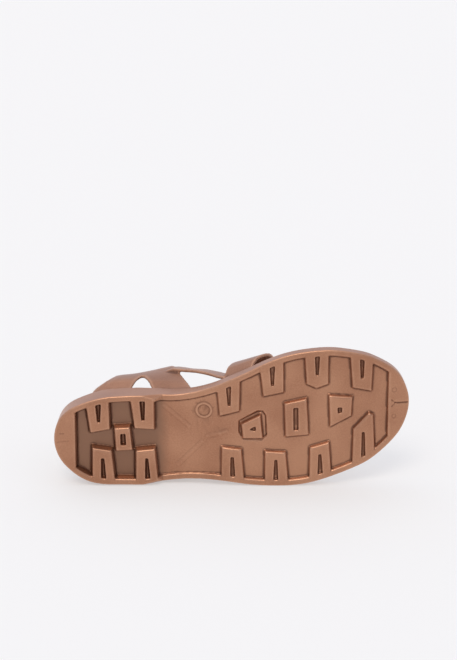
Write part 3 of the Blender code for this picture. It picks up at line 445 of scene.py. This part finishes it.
def mark_shade_and_rub_sheen(piece):
    """Keep how far each point lies inside a hollow or out on an edge, from 1 to -1, for the material's
    painted shade in hollows and its lightening of edges, partly rubbed wear and partly a painted highlight.
    """
    rounded = piece.copy()
    rounded.data = piece.data.copy()
    bpy.context.scene.collection.objects.link(rounded)
    smoothed(rounded, SHADE_AND_RUB_SHEEN_REACH)
    moved = point_values(rounded, "co") - point_values(piece, "co")
    inward = np.sum(moved * point_values(piece, "normal"), axis=1)
    bpy.data.meshes.remove(rounded.data)
    shade_and_rub_sheen = piece.data.attributes.new(SHADE_AND_RUB_SHEEN, "FLOAT", "POINT")
    shade_and_rub_sheen.data.foreach_set("value", np.clip(inward / SHADE_AND_RUB_SHEEN_FULL, -1, 1))
    select_only(piece)


def press_marks(piece):
    """Raise or sink the mould's marks in the skin's points that face the ground."""
    places, facing = point_values(piece, "co"), point_values(piece, "normal")
    ground = on_ground(places) / MM
    lift = np.zeros(len(places))

    def add(distance, height):
        share = np.clip(1 - distance ** 2, 0, 1) ** 2
        lift[:] += share * height * MM

    def from_line(start, end):
        run = np.subtract(end, start)
        along = np.clip((ground - start) @ run / (run @ run), 0, 1)
        return np.linalg.norm(ground - start - along[:, None] * run, axis=1)

    for start, end, width, height in MARK_LINES:
        add(from_line(start, end) / width, height)
    for corners, width, height in MARK_LOOPS:
        nearest = np.full(len(places), np.inf)
        for start, end in zip(corners, corners[1:] + corners[:1]):
            nearest = np.minimum(nearest, from_line(start, end))
        add(nearest / width, height)
    for middle, radius, width, height in MARK_RINGS:
        add((np.linalg.norm(ground - np.array(middle), axis=1) - radius) / width, height)
    for middle, half_length, half_width, height in MARK_SWELLS:
        add(np.linalg.norm((ground - np.array(middle)) / (half_length, half_width), axis=1), height)
    lift[facing @ np.array(STRAPWARD) > -LAND_TILT] = 0
    places -= lift[:, None] * np.array(STRAPWARD)
    piece.data.vertices.foreach_set("co", places.ravel())
    piece.data.update()


def mark_recess_shade(piece, from_outline):
    """Keep how deep each point of the heel's tread lies, as a share of the pocket's depth, for the
    material's painted shade in the deep pockets.
    """
    places = point_values(piece, "co")
    along = on_ground(places)[:, 0]
    depth = (places - np.array(HEEL_TIP)) @ np.array(STRAPWARD)
    share = np.clip(depth / HEEL_DEPTH, 0, 1) * np.clip((HEEL_BREAST + LUG_GAP - along) / LUG_GAP, 0, 1)
    share[(from_outline < TREAD_RIM) | (depth > HEEL_DEPTH + LUG_GAP)] = 0
    recess_shade = piece.data.attributes.new(RECESS_SHADE, "FLOAT", "POINT")
    recess_shade.data.foreach_set("value", share)


class SandalColours(bpy.types.PropertyGroup):
    """Colours of the moulded PVC."""
    sole_light: StringProperty(name="Sole, light", description="Outsole where the flake lies bright",
                               default="#BC8A6C")
    sole_dark: StringProperty(name="Sole, dark", description="Outsole where the flake lies dull",
                              default="#A9775B")
    # the colour painted into the heel's deep pockets as shade
    sole_recess_shade: StringProperty(name="Sole, recess", description="Floor of the deep pockets under the heel",
                                default="#8D6852")
    upper_light: StringProperty(name="Upper, light", description="Straps where the flake lies bright",
                                default="#AA7C62")
    upper_dark: StringProperty(name="Upper, dark", description="Straps where the flake lies dull",
                               default="#93674F")
    floor: StringProperty(name="Floor", description="Plain studio floor", default="#B9B9B9")


class SandalSizes(bpy.types.PropertyGroup):
    """Sizes of the dressing."""
    shoulder: FloatProperty(name="Shoulder", description="Width of the worn shoulder round lugs and blocks",
                            default=1.2 * MM, min=0.1 * MM, max=2 * MM, subtype="DISTANCE", unit="LENGTH")
    sole_cell: FloatProperty(name="Sole cell", description="Cell size of the outsole's moulded skin",
                             default=0.5 * MM, min=0.3 * MM, max=2 * MM, subtype="DISTANCE", unit="LENGTH")
    upper_cell: FloatProperty(name="Strap cell", description="Cell size of the straps' soft skin",
                              default=0.75 * MM, min=0.5 * MM, max=2 * MM, subtype="DISTANCE", unit="LENGTH")


class SANDAL_OT_outsole(bpy.types.Operator):
    """Dress the outsole with soft moulded edges"""
    bl_idname = "sandal.outsole"
    bl_label = "Outsole"

    def execute(self, context):
        sizes, colours = context.scene.sandal_sizes, context.scene.sandal_colours
        piece = node_copy("sole", "outsole")
        corners = outline_of(piece)
        bpy.ops.object.mode_set(mode="EDIT")
        bpy.ops.mesh.select_all(action="SELECT")
        bpy.ops.mesh.dissolve_limited(angle_limit=FLAT_ANGLE)
        select_shoulders(piece)
        bpy.ops.mesh.bevel(offset=sizes.shoulder, segments=SHOULDER_STEPS, affect="EDGES",
                           clamp_overlap=False)
        bpy.ops.object.mode_set(mode="OBJECT")
        skinned(piece, sizes.sole_cell)
        from_outline = round_outline(piece, corners)
        smoothed(piece, SOLE_SOFTENING)
        press_marks(piece)
        mark_shade_and_rub_sheen(piece)
        mark_recess_shade(piece, from_outline)
        shaped(piece, "DECIMATE", decimate_type="COLLAPSE",
               ratio=min(1.0, SOLE_TRIANGLES / (2 * len(piece.data.polygons))))
        select_only(piece)
        bpy.ops.object.shade_smooth()
        pvc = moulded_pvc("satin_moulded_pvc", colours.sole_light, colours.sole_dark, colours.sole_recess_shade)
        finished(piece, pvc, "sole")
        return {"FINISHED"}


class SANDAL_OT_footbed(bpy.types.Operator):
    """Dress the insole with a softened edge"""
    bl_idname = "sandal.footbed"
    bl_label = "Footbed"

    def execute(self, context):
        colours = context.scene.sandal_colours
        piece = node_copy("insole", "footbed")
        bpy.ops.object.mode_set(mode="EDIT")
        bpy.ops.mesh.select_all(action="SELECT")
        bpy.ops.mesh.dissolve_limited(angle_limit=FLAT_ANGLE)
        bpy.ops.object.mode_set(mode="OBJECT")
        shaped(piece, "BEVEL", width=FOOTBED_EDGE, segments=FOOTBED_STEPS, limit_method="ANGLE",
               angle_limit=FOOTBED_EDGE_ANGLE)
        select_only(piece)
        bpy.ops.object.shade_smooth_by_angle(angle=FOOTBED_SMOOTH_ANGLE)
        pvc = moulded_pvc("fine_grained_pvc_footbed", colours.sole_light, colours.sole_dark)
        finished(piece, pvc, "insole")
        return {"FINISHED"}


class SANDAL_OT_straps(bpy.types.Operator):
    """Dress the upper as one soft moulded skin"""
    bl_idname = "sandal.straps"
    bl_label = "Straps"

    def execute(self, context):
        sizes, colours = context.scene.sandal_sizes, context.scene.sandal_colours
        piece = node_copy("upper", "strap_upper")
        skinned(piece, sizes.upper_cell)
        smoothed(piece, STRAP_SOFTENING)
        mark_shade_and_rub_sheen(piece)
        bpy.ops.object.shade_smooth()
        pvc = moulded_pvc("glossy_moulded_pvc", colours.upper_light, colours.upper_dark)
        finished(piece, pvc, "upper")
        return {"FINISHED"}


class SANDAL_OT_stud(bpy.types.Operator):
    """Dress the stud that closes the ankle strap"""
    bl_idname = "sandal.stud"
    bl_label = "Stud"

    def execute(self, context):
        colours = context.scene.sandal_colours
        piece = node_copy("stud", "snap_stud")
        skinned(piece, STUD_CELL)
        smoothed(piece, STUD_SOFTENING)
        select_only(piece)
        bpy.ops.object.shade_smooth()
        pvc = moulded_pvc("glossy_moulded_pvc_stud", colours.upper_light, colours.upper_dark)
        finished(piece, pvc, "stud")
        return {"FINISHED"}


class SANDAL_OT_studio(bpy.types.Operator):
    """Set up the pale floor, the soft light and the camera"""
    bl_idname = "sandal.studio"
    bl_label = "Studio"

    def execute(self, context):
        scene = context.scene
        bpy.ops.object.select_all(action="DESELECT")
        bpy.ops.mesh.primitive_plane_add(size=PAPER_SIZE, location=(0, PAPER_BACK, 0))
        floor = context.object
        floor.name = "studio_floor"
        bpy.ops.object.transform_apply(location=True, rotation=True, scale=True)
        made, tree, shader = new_material("matt_white_studio_paper")
        set_inputs(shader, Base_Color=linear(scene.sandal_colours.floor), Roughness=PAPER_ROUGHNESS,
                   Specular_IOR_Level=PAPER_GLOSS, Emission_Color=linear(PAPER_WHITE),
                   Emission_Strength=PAPER_GLOW)
        floor.data.materials.append(made)

        world = bpy.data.worlds.new("white_studio")
        scene.world = world
        world.use_nodes = True
        tree = world.node_tree
        background = tree.nodes["Background"]
        background.inputs["Color"].default_value = linear(STUDIO_WHITE)
        # the studio is dim on the camera's side, pale behind the sandal and brighter overhead
        way = add_node(tree, "ShaderNodeTexCoord").outputs["Generated"]
        apart = add_node(tree, "ShaderNodeSeparateXYZ", Vector=way)
        depth = add_node(tree, "ShaderNodeMath", {"operation": "MULTIPLY_ADD"}, n0=apart.outputs["Y"],
                         n1=BACKDROP_GAIN, n2=SIDE_GLOW)
        glow = add_node(tree, "ShaderNodeMath", {"operation": "MULTIPLY_ADD"}, n0=apart.outputs["Z"],
                        n1=CEILING_GAIN, n2=depth.outputs[0])
        tree.links.new(glow.outputs[0], background.inputs["Strength"])

        for name, place, spread, strength in SOFTBOXES:
            bpy.ops.object.light_add(type="SUN", location=place)
            lamp = context.object
            lamp.name = name
            lamp.data.angle = radians(spread)
            lamp.data.color = linear(LAMP_WHITE)[:3]
            lamp.data.energy = strength
            lamp.rotation_euler = Vector(place).to_track_quat("Z", "Y").to_euler()

        camera = bpy.data.objects.new("photo_view", bpy.data.cameras.new("photo_view"))
        scene.collection.objects.link(camera)
        scene.camera = camera
        frame_height = PIXELS_HIGH / PIXELS_PER_MM * MM
        camera.data.sensor_fit = "AUTO"
        camera.data.sensor_width = SENSOR
        camera.data.lens = SENSOR * CAMERA_AWAY / frame_height
        camera.data.clip_end = CLIP_END
        aim = STANDING @ Vector((AIM_ALONG, 0, 0))
        medial = -OUTWARD
        towards = -STRAPWARD * cos(VIEW_OFF_TREAD) + medial * sin(VIEW_OFF_TREAD)
        drop = atan(AIM_ROWS_BELOW / PIXELS_PER_MM * MM / CAMERA_AWAY)
        axis = Matrix.Rotation(drop, 3, "X") @ towards
        camera.location = aim + towards * (CAMERA_AWAY / cos(drop))
        camera.rotation_euler = (-axis).to_track_quat("-Z", "Y").to_euler()
        scene.view_settings.view_transform = "Standard"
        return {"FINISHED"}


class SANDAL_PT_panel(bpy.types.Panel):
    """Lists the sandal's pieces and its studio"""
    bl_idname = "SANDAL_PT_panel"
    bl_label = "Jelly sandal"
    bl_space_type = "VIEW_3D"
    bl_region_type = "UI"
    bl_category = "Sandal"

    def draw(self, context):
        for group in (context.scene.sandal_sizes, context.scene.sandal_colours):
            for name in group.__annotations__:
                self.layout.prop(group, name)
        for operator in OPERATORS:
            self.layout.operator(operator.bl_idname)


OPERATORS = (SANDAL_OT_outsole, SANDAL_OT_footbed, SANDAL_OT_straps, SANDAL_OT_stud, SANDAL_OT_studio)
CLASSES = (SandalColours, SandalSizes) + OPERATORS + (SANDAL_PT_panel,)


def register():
    for one in CLASSES:
        bpy.utils.register_class(one)
    bpy.types.Scene.sandal_colours = PointerProperty(type=SandalColours)
    bpy.types.Scene.sandal_sizes = PointerProperty(type=SandalSizes)


def unregister():
    del bpy.types.Scene.sandal_sizes
    del bpy.types.Scene.sandal_colours
    for one in reversed(CLASSES):
        bpy.utils.unregister_class(one)


def main():
    register()
    for operator in OPERATORS:
        group, name = operator.bl_idname.split(".")
        getattr(getattr(bpy.ops, group), name)()


if __name__ == "__main__":
    main()
